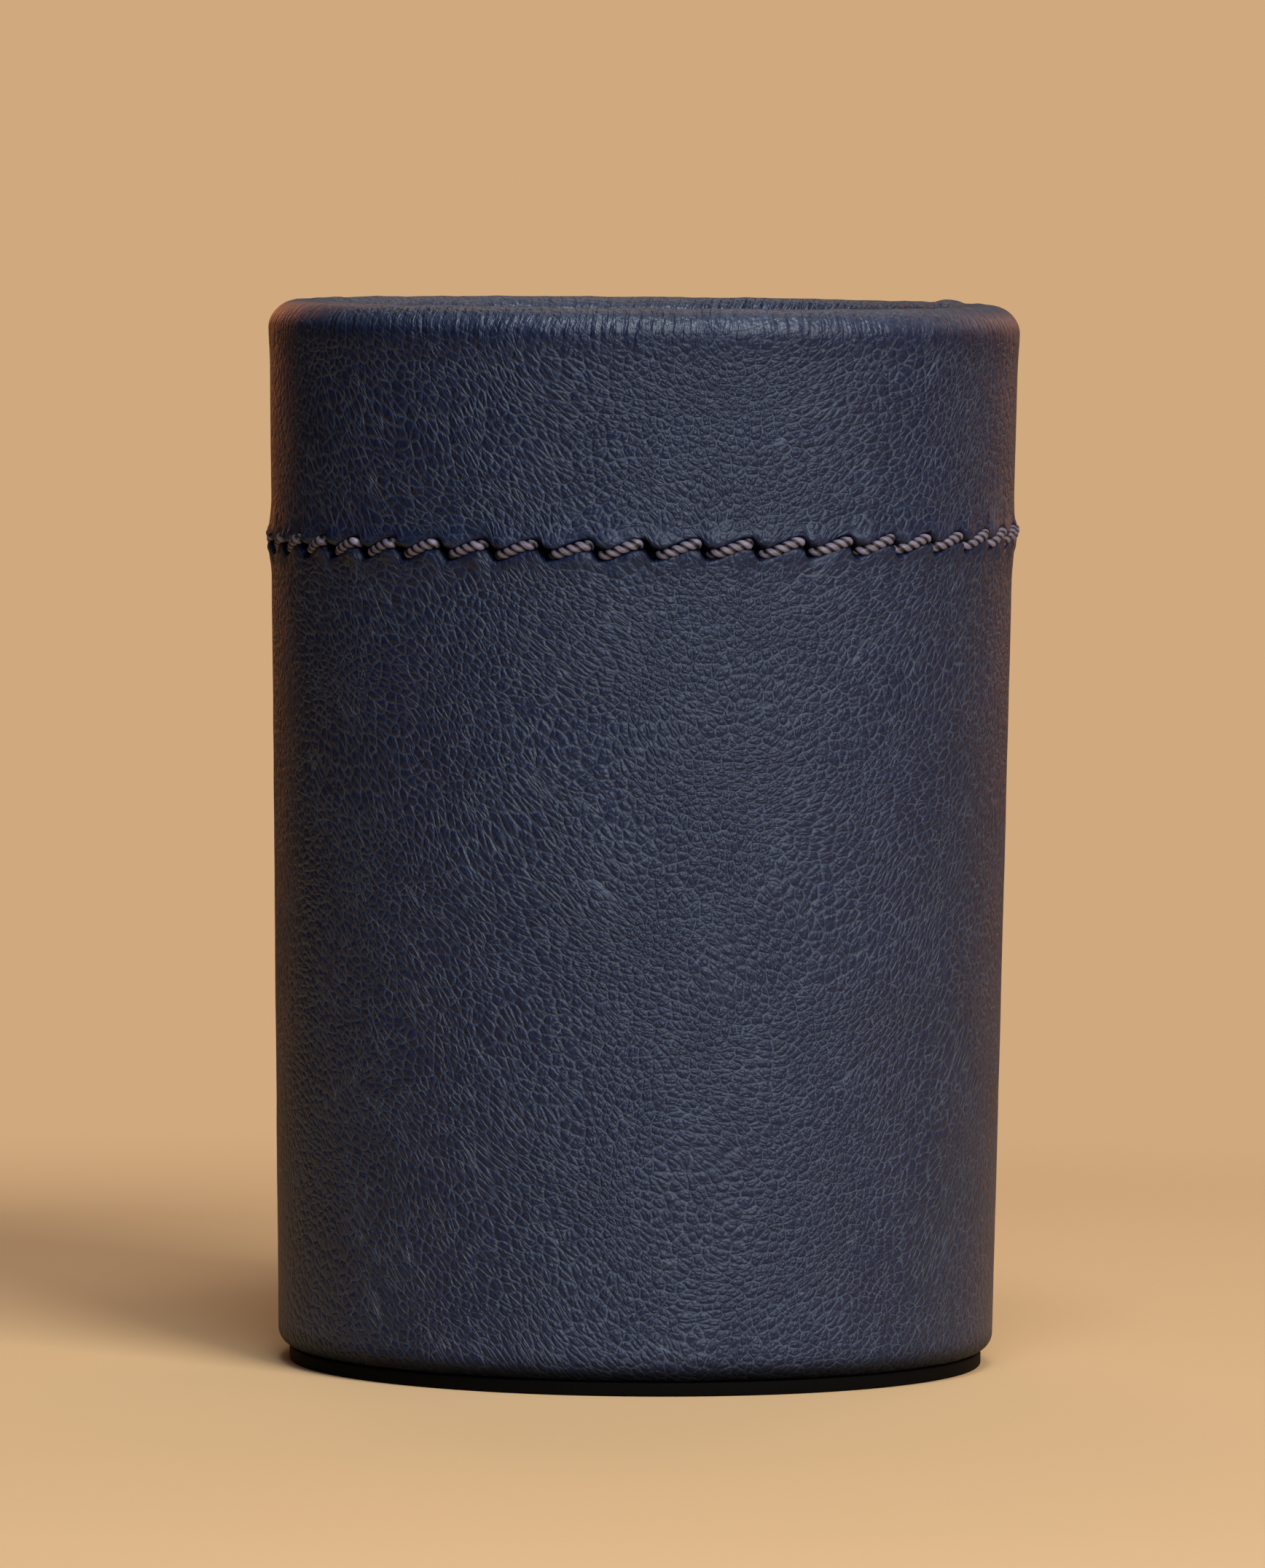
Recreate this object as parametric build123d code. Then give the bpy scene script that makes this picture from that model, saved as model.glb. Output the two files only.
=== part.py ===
from build123d import *

import os
from math import cos, pi, radians, sin

# A leather-covered pencil cup, in millimetres, standing on z = 0 about the Z axis.
# A stiff board tube and disc carry everything. Three leathers clothe it: the sleeve outside,
# turned under the foot, the lining inside, and the cuff, turned over the rim. They meet in a
# groove at the stitch row, outside and inside, where saddle stitch joins them.

# Overall form
cup_height = 107.7
rim_radius = 38.0
foot_radius = 36.3

# Layers of the wall, from the outside in
leather = 1.2
glue = 0.05
core_wall = 3.2

# Foot and floor
pad_thickness = 1.4
pad_inset = 1.1
foot_round = 3.0
hem_width = 11.0
board_thickness = 3.0
board_fit = 0.15
floor_lining_thickness = 0.8

# The leathers close on a line behind the cup, this far round from +X towards +Y
closing_turn = 35.0

# Rounds are turned from this many chords, fewer where a round is covered
rim_chords = 6
rim_inner_chords = 3
foot_chords = 3
foot_inner_chords = 2

# Saddle stitch: each stitch rises from one hole to the next, and its ends lean into the groove
seam_height = 84.0
stitch_count = 44
first_hole_turn = 0.9
stitch_rise = 1.1
end_rise = 0.24
end_lean = 0.5
thread = 1.05
thread_fit = 0.05
thread_bury = 0.5
thread_sides = 6
strand_gap = 0.15
groove_margin = 0.15

# The pull of the thread raises a lip on each outer leather beside the groove
lip_swell = 0.2
lip_reach = 4.0

# What follows from the sizes above
taper = (rim_radius - foot_radius) / cup_height
wall = leather + glue + core_wall + glue + leather
core_outside = leather + glue
core_inside = core_outside + core_wall
roll_height = cup_height - wall / 2
hem_bottom = pad_thickness + glue
foot_height = hem_bottom + foot_round
core_bottom = hem_bottom + leather + glue
board_top = core_bottom + board_thickness
groove_half = stitch_rise / 2 + thread / 2 + groove_margin
groove_floor_half = end_rise / 2 + thread / 2 + thread_fit


def radius_at(height, depth=0.0):
    """Radius of the layer that lies depth inside the outer leather's face."""
    return foot_radius + taper * height - depth


def at(height, depth=0.0):
    """A point of the half section that is turned about the Z axis."""
    return (radius_at(height, depth), height)


def round_points(centre, size, first, last, chords):
    """Points of a round from one angle to another, in degrees up from straight out."""
    angles = [radians(first + (last - first) * k / chords) for k in range(chords + 1)]
    return [(centre[0] + size * cos(a), centre[1] + size * sin(a)) for a in angles]


def rim_round(depth, chords):
    """The rim at one depth, from the outside over the top to the inside."""
    return round_points(at(roll_height, wall / 2), wall / 2 - depth, 0, 180, chords)


def foot_round_points(depth, chords):
    """The round of the foot at one depth, from the wall in to the underside."""
    return round_points(at(foot_height, foot_round), foot_round - depth, 0, -90, chords)


def turned(outline):
    """Turn a closed outline of (radius, height) points about the Z axis.

    A sloping side is drawn as a curve with two points, because the face that it turns into then
    facets in long strips.
    """
    edges = []
    for start, end in zip(outline, outline[1:] + outline[:1]):
        square = min(abs(start[0] - end[0]), abs(start[1] - end[1])) < 1e-6
        edges.append(Line(start, end) if square else Bezier(start, end))
    return Rot(0, 0, closing_turn) * revolve(Plane.XZ * make_face(Curve() + edges), Axis.Z, 360)


def core_tube():
    foot = foot_round_points(core_outside, foot_inner_chords)
    rim = rim_round(core_outside, rim_inner_chords)
    return turned(rim + [at(core_bottom, core_inside)] + foot[::-1])


def base_board():
    depth = core_inside + board_fit
    return turned([(0, core_bottom), at(core_bottom, depth), at(board_top, depth), (0, board_top)])


def body_sleeve():
    hem_edge = radius_at(0) - hem_width
    return turned(
        [
            at(seam_height - groove_floor_half, leather),
            at(seam_height - groove_half, -lip_swell),
            at(seam_height - lip_reach),
        ]
        + foot_round_points(0, foot_chords)
        + [(hem_edge, hem_bottom), (hem_edge, hem_bottom + leather)]
        + foot_round_points(leather, foot_inner_chords)[::-1]
    )


def rim_cuff():
    return turned(
        [
            at(seam_height + groove_floor_half, leather),
            at(seam_height + groove_half, -lip_swell),
            at(seam_height + lip_reach),
        ]
        + rim_round(0, rim_chords)
        + [
            at(seam_height + groove_half, wall),
            at(seam_height + groove_floor_half, wall - leather),
        ]
        + rim_round(leather, rim_inner_chords)[::-1]
    )


def inner_lining():
    lower = board_top + glue
    back = wall - leather
    return turned(
        [
            at(lower, back),
            at(lower, wall),
            at(seam_height - groove_half, wall),
            at(seam_height - groove_floor_half, back),
        ]
    )


def floor_lining():
    reach = radius_at(board_top, wall) - board_fit
    return Pos(0, 0, board_top + glue) * extrude(Circle(reach), floor_lining_thickness)


def base_pad():
    return extrude(Circle(foot_radius - pad_inset), pad_thickness)


def faceted_tube(path, first_cut, last_cut):
    """The thread along the points of path, mitred at each bend, with flat sides.

    Its ends are cut square to the directions first_cut and last_cut.
    """
    runs = [(b - a).normalized() for a, b in zip(path, path[1:])]
    mitres = [(a + b).normalized() for a, b in zip(runs, runs[1:])]
    over = runs[0].cross(Axis.Z.direction).normalized()
    up = over.cross(runs[0])
    spokes = [2 * pi * k / thread_sides for k in range(thread_sides)]
    ring = [path[0] + (up * cos(s) + over * sin(s)) * (thread / 2) for s in spokes]
    rings = []
    for run, point, cut in zip(runs[:1] + runs, path, [first_cut] + mitres + [last_cut]):
        ring = [p + run * ((point - p).dot(cut) / run.dot(cut)) for p in ring]
        rings.append(ring)
    faces = [Face(Wire.make_polygon(ring)) for ring in (rings[0], rings[-1])]
    for low, high in zip(rings, rings[1:]):
        for k in range(thread_sides):
            n = (k + 1) % thread_sides
            faces.append(Face(Wire.make_polygon([low[k], low[n], high[n], high[k]])))
    return Solid(Shell(faces))


def outward(hole):
    """The way straight out from the Z axis at a hole of the stitch row."""
    turn = radians(first_hole_turn + hole * 360 / stitch_count)
    return Vector(sin(turn), -cos(turn), 0)


def on_row(hole, across, up, radius):
    """A place beside a hole: across to its right and up from the seam, as seen from outside."""
    out = outward(hole)
    return out * radius + Axis.Z.direction.cross(out) * across + Vector(0, 0, seam_height + up)


def stitch(hole, outside):
    """One stitch from a hole to the next, its ends leaning down the groove to the board.

    Seen from its own side of the wall, it is low at its left end and high at its right.
    """
    side = 1 if outside else -1
    face = radius_at(seam_height, 0 if outside else wall)
    board = radius_at(seam_height, core_outside if outside else core_inside)
    crest = face + side * (thread / 2 - thread_bury)
    root = board + side * thread_fit
    root_across = (thread + strand_gap) / 2
    crest_across = root_across + end_lean
    root_up = side * end_rise / 2
    crest_up = side * stitch_rise / 2
    return faceted_tube(
        [
            on_row(hole, root_across, -root_up, root),
            on_row(hole, crest_across, -crest_up, crest),
            on_row(hole + 1, -crest_across, crest_up, crest),
            on_row(hole + 1, -root_across, root_up, root),
        ],
        outward(hole),
        outward(hole + 1),
    )


def saddle_stitch():
    holes = range(stitch_count)
    return Compound([stitch(hole, outside) for outside in (True, False) for hole in holes])


parts = {
    "core_tube": core_tube(),
    "base_board": base_board(),
    "body_sleeve": body_sleeve(),
    "rim_cuff": rim_cuff(),
    "saddle_stitch": saddle_stitch(),
    "inner_lining": inner_lining(),
    "floor_lining": floor_lining(),
    "base_pad": base_pad(),
}

os.makedirs("parts", exist_ok=True)
for name, shape in parts.items():
    export_step(shape, f"parts/{name}.step")
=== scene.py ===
import math

import bpy
import numpy as np
from bpy.props import FloatProperty, FloatVectorProperty, IntProperty, PointerProperty
from mathutils import Matrix, Vector


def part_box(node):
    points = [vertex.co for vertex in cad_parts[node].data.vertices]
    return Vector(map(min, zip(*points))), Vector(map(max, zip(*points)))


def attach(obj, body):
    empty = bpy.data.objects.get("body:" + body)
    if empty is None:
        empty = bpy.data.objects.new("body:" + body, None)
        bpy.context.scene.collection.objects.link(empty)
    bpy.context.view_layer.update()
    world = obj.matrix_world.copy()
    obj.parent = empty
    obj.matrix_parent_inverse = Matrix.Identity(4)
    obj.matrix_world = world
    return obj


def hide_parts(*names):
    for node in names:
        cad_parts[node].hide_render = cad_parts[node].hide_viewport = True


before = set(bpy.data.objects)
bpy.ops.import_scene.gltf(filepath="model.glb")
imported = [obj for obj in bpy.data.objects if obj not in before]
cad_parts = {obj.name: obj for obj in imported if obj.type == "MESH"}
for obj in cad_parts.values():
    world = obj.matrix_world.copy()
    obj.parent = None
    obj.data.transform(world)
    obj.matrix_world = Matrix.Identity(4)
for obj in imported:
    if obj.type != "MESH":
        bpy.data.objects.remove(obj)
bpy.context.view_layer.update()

bl_info = {
    "name": "Leather pencil cup",
    "version": (1, 0, 0),
    "blender": (4, 5, 0),
    "location": "3D View > Sidebar > Pencil Cup",
    "description": "Clothes a pencil cup in grained leather and sews its saddle stitch",
    "category": "Object",
}

MM = 0.001
FULL_TURN = 2 * math.pi

# The cup's sizes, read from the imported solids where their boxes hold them
rim_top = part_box("rim_cuff")[1].z
sleeve_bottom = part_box("body_sleeve")[0].z
lining_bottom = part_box("inner_lining")[0].z
pad_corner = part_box("base_pad")[1]
floor_low, floor_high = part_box("floor_lining")

# Sizes that no box holds, the same as the solids' but for the tighter round of the foot
LEATHER = 1.2 * MM
WALL = 5.7 * MM
HEM = 11.0 * MM
FOOT_ROUND = 1.9 * MM

# Rows of points lie close together near the joint of two leathers, at these mm from it
NEAR_JOINT = (0, 0.1, 0.2, 0.3, 0.4, 0.52, 0.66, 0.82, 1.0, 1.22, 1.5, 1.85, 2.25, 2.7, 3.2, 3.8)
WIDER_FROM = 4.6 * MM  # from here the rows lie wider apart
FAR = 9.0 * MM  # joint distance of every point that the stitches don't move
TURNS = 704  # points in a row round the cup, 16 to a stitch
RIM_STEPS = 28  # rows over the roll of the rim
DISC_TURNS = 176  # points in a ring of a disc

# Kinds of node that are used often, and settings that go with them. A Math node adds unless it
# is told otherwise. Map Range takes its value, From Min, From Max, To Min and To Max in order.
MATH, VECTOR, RANGE = "ShaderNodeMath", "ShaderNodeVectorMath", "ShaderNodeMapRange"
NOISE, VORONOI, MIX = "ShaderNodeTexNoise", "ShaderNodeTexVoronoi", "ShaderNodeMix"
MAPPING, COMBINE, CURVE = "ShaderNodeMapping", "ShaderNodeCombineXYZ", "ShaderNodeFloatCurve"
NAMED, STORE = "GeometryNodeInputNamedAttribute", "GeometryNodeStoreNamedAttribute"
TIMES, TIMES_PLUS, MINUS, OVER, SCALE, COSINE, ABSOLUTE = [{"operation": name} for name in (
    "MULTIPLY", "MULTIPLY_ADD", "SUBTRACT", "DIVIDE", "SCALE", "COSINE", "ABSOLUTE")]
SMOOTH, FLAT = {"interpolation_type": "SMOOTHSTEP"}, {"noise_dimensions": "2D"}
RGBA = {"data_type": "RGBA"}


def linear(hex_colour):
    """An sRGB hex colour such as 2D374E as linear red, green, blue and alpha."""
    channels = [int(hex_colour[i:i + 2], 16) / 255 for i in (0, 2, 4)]
    return [c / 12.92 if c <= 0.04045 else ((c + 0.055) / 1.055) ** 2.4 for c in channels] + [1.0]


class CupForm(bpy.types.PropertyGroup):
    """Outer form of the cup."""

    height: FloatProperty(
        name="Height", description="From the desk to the top of the rim",
        default=rim_top, unit="LENGTH", precision=4)
    rim_radius: FloatProperty(
        name="Rim radius", description="Radius that the wall would reach at full height",
        default=38.0 * MM, unit="LENGTH", precision=4)
    foot_radius: FloatProperty(
        name="Foot radius", description="Radius that the wall would reach at the desk",
        default=36.3 * MM, unit="LENGTH", precision=4)
    rim_swell: FloatProperty(
        name="Rim swell", description="How far the leather bulges where it turns over the rim",
        default=0.15 * MM, unit="LENGTH", precision=5)
    lap_turn: FloatProperty(
        name="Lap turn", description="Where the leathers lap behind, from the front towards +X",
        default=math.radians(118.0), subtype="ANGLE")
    lap_height: FloatProperty(
        name="Lap height", description="How far the lap of the leathers stands out",
        default=0.33 * MM, unit="LENGTH", precision=5)
    pucker: FloatProperty(
        name="Pucker", description="Height of the gathers inside the rim",
        default=0.26 * MM, unit="LENGTH", precision=5)
    unevenness: FloatProperty(
        name="Unevenness", description="How far the leather's surface wanders in and out",
        default=0.16 * MM, unit="LENGTH", precision=5)


class LeatherLook(bpy.types.PropertyGroup):
    """Colour and grain of the outer leather."""

    dye: FloatVectorProperty(
        name="Dye", description="Colour of the grain's pebbles", subtype="COLOR",
        default=linear("0B1634")[:3], min=0.0, max=1.0)
    # The crease colour is a painted highlight, for the light that the crease walls catch.
    crease: FloatVectorProperty(
        name="Crease", description="Colour of the lighter creases between pebbles",
        subtype="COLOR", default=linear("3F4C63")[:3], min=0.0, max=1.0)
    pebble: FloatProperty(
        name="Pebble", description="Width of a pebble of the grain",
        default=0.92 * MM, unit="LENGTH", precision=5)
    relief: FloatProperty(
        name="Relief", description="Depth of the grain",
        default=0.17 * MM, unit="LENGTH", precision=5)


class StitchForm(bpy.types.PropertyGroup):
    """The row of saddle stitch."""

    count: IntProperty(
        name="Stitches", description="How many stitches go round the cup", default=44, min=3)
    height: FloatProperty(
        name="Row height", description="Height of the row above the desk",
        default=83.98 * MM, unit="LENGTH", precision=4)
    slope: FloatProperty(
        name="Row slope", description="How much the row rises towards +X", default=0.0161)
    first_hole: FloatProperty(
        name="First hole", description="Turn of one hole from the front towards +X",
        default=math.radians(0.9), subtype="ANGLE")
    thread: FloatProperty(
        name="Thread", description="Thickness of the waxed thread",
        default=1.05 * MM, unit="LENGTH", precision=5)
    rise: FloatProperty(
        name="Rise", description="How much each stitch climbs from its left end to its right",
        default=1.15 * MM, unit="LENGTH", precision=5)
    lay: FloatProperty(
        name="Lay", description="Length in which a ply of the thread goes once round",
        default=1.9 * MM, unit="LENGTH", precision=5)
    groove: FloatProperty(
        name="Groove", description="Depth that the stitches pull the leather down",
        default=0.95 * MM, unit="LENGTH", precision=5)
    lip: FloatProperty(
        name="Lip", description="How far the leather stands up beside the stitches",
        default=0.32 * MM, unit="LENGTH", precision=5)


class StageLook(bpy.types.PropertyGroup):
    """Floor, backdrop, lamps and camera."""

    paper: FloatVectorProperty(
        name="Paper", description="Colour of the floor", subtype="COLOR",
        default=linear("D0B289")[:3], min=0.0, max=1.0)
    backdrop: FloatVectorProperty(
        name="Backdrop", description="Colour of the backdrop", subtype="COLOR",
        default=linear("D0A97F")[:3], min=0.0, max=1.0)
    key: FloatProperty(
        name="Key lamp", description="Power of the soft lamp at the right", default=54.0,
        unit="POWER")
    side: FloatProperty(
        name="Side lamp", description="Power of the warm lamp far round to the right",
        default=4.0, unit="POWER")
    top: FloatProperty(
        name="Top lamp", description="Power of the soft lamp overhead", default=6.2,
        unit="POWER")
    front: FloatProperty(
        name="Front lamp", description="Power of the small low lamp in front", default=3.6,
        unit="POWER")
    back: FloatProperty(
        name="Back lamp", description="Power of the wide lamp behind", default=2.9,
        unit="POWER")
    glow: FloatProperty(
        name="Backdrop glow", description="Power of the light that a lit backdrop sends back",
        default=2.4, unit="POWER")
    sky: FloatProperty(
        name="Room light", description="Strength of the even light of the room", default=0.03)


def feed(tree, node, inputs):
    """Set or link a node's inputs, by name or in order. A node given links its first output."""
    for key, value in inputs.items() if isinstance(inputs, dict) else enumerate(inputs):
        if isinstance(value, bpy.types.Node):
            value = value.outputs[0]
        if isinstance(value, bpy.types.NodeSocket):
            tree.links.new(value, node.inputs[key])
        else:
            node.inputs[key].default_value = value


def add(tree, kind, inputs=(), **settings):
    """Add a node with its settings and its inputs."""
    made = tree.nodes.new(kind)
    for name, value in settings.items():
        setattr(made, name, value)
    feed(tree, made, inputs)
    return made


def draw_curve(made, points):
    """Set the line of a Float Curve node, which may run below zero."""
    mapping = made.mapping
    mapping.clip_min_y, mapping.clip_max_y = -2.0, 2.0
    line = mapping.curves[0]
    while len(line.points) < len(points):
        line.points.new(0.5, 0.5)
    for point, place in zip(line.points, points):
        point.location = place
    mapping.update()
    return made


def new_material(name):
    """A node material with only a Principled shader, which is returned with its tree."""
    material = bpy.data.materials.new(name)
    material.use_nodes = True
    tree = material.node_tree
    tree.nodes.clear()
    shader = add(tree, "ShaderNodeBsdfPrincipled")
    add(tree, "ShaderNodeOutputMaterial", (shader,))
    return material, tree, shader


# Materials


def milled_leather(look, form, row):
    """Full-grain cowhide, drum-dyed navy, tumbled soft and lightly waxed.

    Tumbling leaves flat pebbles about a millimetre wide between narrow creases, and longer
    creases that sweep round in wide arcs as the hide's folds do. Lit from the side, the walls of
    the creases show as thin pale lines, and the creases are also painted paler, a painted
    highlight. Wax gives the flats a low, broken sheen.
    """
    material, tree, shader = new_material("navy milled full-grain leather")
    hide = add(tree, "ShaderNodeUVMap", uv_map="hide")
    in_mm = add(tree, VECTOR, {0: hide, "Scale": 1 / MM}, **SCALE)
    across, along = add(tree, "ShaderNodeSeparateXYZ", (in_mm,)).outputs[:2]

    # All lengths from here on are in millimetres of hide. Folds: level lines of the pattern rise
    # at the sides and sag behind and a little to the right of the front.
    sag_turn = math.radians(18.0)
    girth = FULL_TURN * form.rim_radius / MM
    front = (FULL_TURN - form.lap_turn + sag_turn) * form.rim_radius / MM
    phase = add(tree, MATH, (across, -front))
    phase = add(tree, MATH, (phase, 2 * FULL_TURN / girth), **TIMES)
    sag = add(tree, MATH, (phase,), **COSINE)

    # A slow drift bends the whole pattern, and a finer one makes each pebble uneven.
    drift = in_mm
    for scale, reach in ((0.06, 6.0), (0.9, 0.30), (3.2, 0.10)):
        noise = add(tree, NOISE, {"Vector": in_mm, "Scale": scale, "Detail": 1.5}, **FLAT)
        centred = add(tree, VECTOR, (noise.outputs["Color"], (0.5,) * 3), **MINUS)
        drift = add(tree, VECTOR, (centred, (reach,) * 3, drift), **TIMES_PLUS)
    swept = []
    for depth in (10.0, 24.0):
        lift = add(tree, COMBINE, {1: add(tree, MATH, (sag, depth), **TIMES)})
        swept.append(add(tree, VECTOR, (drift, lift)))

    # Pebbles: narrow creases at the edges of cells of two sizes.
    pebble = look.pebble / MM
    creases, domes = [], []
    for size, reach in ((pebble, 0.23), (pebble * 0.58, 0.26)):
        flat = add(tree, MAPPING, {"Vector": swept[0], "Scale": (0.82 / size, 1 / size, 1.0)})
        edge = add(tree, VORONOI, {"Vector": flat, "Scale": 1.0}, voronoi_dimensions="2D",
                   feature="DISTANCE_TO_EDGE")
        creases.append(add(tree, RANGE, (edge, 0.0, reach, 1.0, 0.0), **SMOOTH))
        domes.append(add(tree, VORONOI, {"Vector": flat, "Scale": 1.0, "Smoothness": 0.45},
                         voronoi_dimensions="2D", feature="SMOOTH_F1"))

    # Long creases: thin level lines of a noise that is stretched along the folds.
    flat = add(tree, MAPPING, {"Vector": swept[1], "Scale": (1 / 8.0, 1 / 2.0, 1.0)})
    streak = add(tree, NOISE, {"Vector": flat, "Scale": 1.0, "Detail": 1.0, "Roughness": 0.4},
                 **FLAT)
    streak = add(tree, MATH, (streak, 0.5), **MINUS)
    streak = add(tree, MATH, (streak,), **ABSOLUTE)
    streak = add(tree, RANGE, (streak, 0.0, 0.017, 1.0, 0.0), **SMOOTH)

    # How strong each kind is varies over the hide. Fine pebbles show most to the right of the
    # front.
    amount, local, pores = [
        add(tree, NOISE, {"Vector": in_mm, "Scale": scale, "Detail": detail}, **FLAT)
        for scale, detail in ((0.12, 2.0), (0.6, 1.0), (2.6, 3.0))]
    longs = add(tree, RANGE, (amount, 0.38, 0.58, 0.25, 1.0))
    vary = add(tree, RANGE, (local, 0.34, 0.66, 0.62, 1.1))
    fine = add(tree, MATH, (phase, 0.5, -0.5), **TIMES_PLUS)
    fine = add(tree, MATH, (fine,), **COSINE)
    fine = add(tree, RANGE, (fine, -1.0, 1.0, 0.25, 0.85))

    # Leather stretched over the rim has creases across the rim instead of pebbles.
    rim_start = (form.height - WALL / 2 - row.height) / MM
    rises = add(tree, RANGE, (along, rim_start - 3.0, rim_start + 1.0), **SMOOTH)
    falls = add(tree, RANGE, (along, rim_start + 9.0, rim_start + 25.0, 1.0, 0.3))
    over_rim = add(tree, MATH, (rises, falls), **TIMES)
    flat = add(tree, MAPPING, {"Vector": drift, "Scale": (1.5, 0.22, 1.0)})
    across_rim = add(tree, NOISE, {"Vector": flat, "Scale": 1.0, "Detail": 2.0}, **FLAT)
    across_rim = add(tree, MATH, (across_rim, over_rim), **TIMES)
    crown = add(tree, RANGE, (along, rim_start + 0.2, rim_start + 2.0), **SMOOTH)
    crown = add(tree, MATH, (crown, falls), **TIMES)
    off_rim = add(tree, RANGE, (over_rim, 0.0, 1.0, 1.0, 0.35))

    # Beside the stitches the leather is pulled smooth.
    from_joint = add(tree, MATH, (along,), **ABSOLUTE)
    pulled = add(tree, RANGE, (from_joint, 0.7, 2.6, 0.35, 1.0))
    pulled = add(tree, MATH, (pulled, off_rim), **TIMES)

    # The height is a sum of parts, in shares of the relief's depth.
    first, second, third = [add(tree, MATH, pair, **TIMES) for pair in (
        (creases[0], vary), (creases[1], fine), (streak, longs))]
    height = 0.0
    for part, share in ((first, -0.48), (second, -0.24), (third, -0.60), (domes[0], -0.75),
                        (domes[1], -0.30)):
        height = add(tree, MATH, (part, share, height), **TIMES_PLUS)
    height = add(tree, MATH, (height, pulled), **TIMES)
    for part, share in ((across_rim, 2.0), (pores, 0.40)):
        height = add(tree, MATH, (part, share, height), **TIMES_PLUS)
    bump = add(tree, "ShaderNodeBump", {"Height": height, "Strength": 1.0,
                                        "Distance": look.relief})

    # Painted highlight: the creases are painted paler for the light that their walls catch, and
    # the creases across the rim's crown are painted paler for the highlight along the rim.
    lines = 0.0
    for part, share in ((first, 0.54), (second, 0.14), (third, 0.62)):
        thin = add(tree, MATH, (part, part), **TIMES)
        lines = add(tree, MATH, (thin, share, lines), use_clamp=True, **TIMES_PLUS)
    lines = add(tree, MATH, (lines, pulled), **TIMES)
    painted_highlight = add(tree, MATH, (across_rim, crown), **TIMES)
    painted_highlight = add(tree, MATH, (painted_highlight, 0.6, lines), use_clamp=True, **TIMES_PLUS)
    colour = add(tree, MIX, {"Factor": painted_highlight, "A": (*look.dye, 1.0), "B": (*look.crease, 1.0)},
                 **RGBA)

    # Painted black along the joint, partly the ink on its cut edges and partly painted shade in
    # the slits and under the stitches, reaching further out at the holes. The turned-in foot is
    # darkened with painted shade.
    first_pitch = (form.lap_turn - row.first_hole) * row.count / FULL_TURN
    hole = add(tree, MATH, (across, row.count / girth, first_pitch), **TIMES_PLUS)
    hole = add(tree, MATH, (hole, FULL_TURN), **TIMES)
    hole = add(tree, MATH, (hole,), **COSINE)
    slit_shade_reach = add(tree, RANGE, (hole, 0.2, 1.0, 0.70, 1.2))
    ink_and_slit_shade = add(tree, RANGE, (from_joint, 0.4, slit_shade_reach, 0.04, 1.0))
    foot = -(row.height - sleeve_bottom) / MM
    foot_shade = add(tree, RANGE, (along, foot + 0.4, foot + 3.0, 0.18, 1.0), **SMOOTH)
    tone = add(tree, RANGE, (amount, 0.3, 0.7, 0.93, 1.07))
    gloss = add(tree, MATH, (crown, 0.46, 0.40), **TIMES_PLUS)
    # Painted shade: these masks darken the colour and lower the gloss.
    for matt in (ink_and_slit_shade, foot_shade):
        tone = add(tree, MATH, (tone, matt), **TIMES)
        gloss = add(tree, MATH, (gloss, matt), **TIMES)
    toned = add(tree, VECTOR, {0: colour.outputs["Result"], "Scale": tone}, **SCALE)
    rough = add(tree, RANGE, (lines, 0.0, 0.6, 0.47, 0.58))
    rough = add(tree, MATH, (crown, -0.10, rough), **TIMES_PLUS)

    # The export drops the link to the specular level, and then the number set first stands in.
    feed(tree, shader, {"Specular IOR Level": 0.4, "IOR": 1.48,
                        "Specular Tint": (0.78, 0.88, 1.0, 1.0)})
    feed(tree, shader, {"Base Color": toned, "Roughness": rough, "Normal": bump,
                        "Specular IOR Level": gloss})
    return material


def skiver_leather():
    """Thin split lining leather, dyed navy and left matt, with a fine even grain of 0.6 mm."""
    material, tree, shader = new_material("navy skiver lining leather")
    place = add(tree, "ShaderNodeTexCoord").outputs["Object"]
    cells = add(tree, VORONOI, {"Vector": place, "Scale": 1 / (0.6 * MM)},
                feature="DISTANCE_TO_EDGE")
    patch = add(tree, NOISE, {"Vector": place, "Scale": 60.0, "Detail": 4.0})
    bump = add(tree, "ShaderNodeBump", {"Height": cells, "Distance": 0.05 * MM})
    colour = add(tree, MIX, {"Factor": patch, "A": linear("1B2434"), "B": linear("2C374D")},
                 **RGBA)
    feed(tree, shader, {"Base Color": colour.outputs["Result"], "Normal": bump,
                        "Roughness": 0.72})
    return material


def waxed_thread():
    """Two-ply polyester cord, spun, dyed mauve grey and waxed.

    The plies catch the light as slanting ridges. The valleys between them are painted dark, a
    painted shade.
    """
    material, tree, shader = new_material("mauve-grey waxed plied thread")
    around, along = [add(tree, "ShaderNodeAttribute", attribute_name=name).outputs["Fac"]
                     for name in ("around", "along")]
    crest = add(tree, MATH, (around, FULL_TURN), **TIMES)
    crest = add(tree, MATH, (crest,), **COSINE)
    crest = add(tree, MATH, (crest,), **ABSOLUTE)
    # Fibres run with the ply: fine across it, about 0.04 mm, and long along it.
    spread = add(tree, COMBINE, [add(tree, MATH, pair, **TIMES)
                                 for pair in ((around, 60.0), (along, 900.0))])
    fibres = add(tree, NOISE, {"Vector": spread, "Scale": 1.0, "Detail": 3.0})
    # Painted shade: the colour darkens from each ply's crest into the valley.
    valley_shade = add(tree, RANGE, (crest, 0.30), **SMOOTH)
    ply = add(tree, MIX, {"Factor": valley_shade, "A": linear("0E0B12"), "B": linear("706B84")},
              **RGBA)
    worn = add(tree, RANGE, (fibres, 0.3, 0.7, 0.72, 1.22))
    colour = add(tree, VECTOR, {0: ply.outputs["Result"], "Scale": worn}, **SCALE)
    bump = add(tree, "ShaderNodeBump", {"Height": fibres, "Distance": 0.05 * MM})
    feed(tree, shader, {"Base Color": colour, "Normal": bump, "Roughness": 0.4})
    return material


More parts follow.
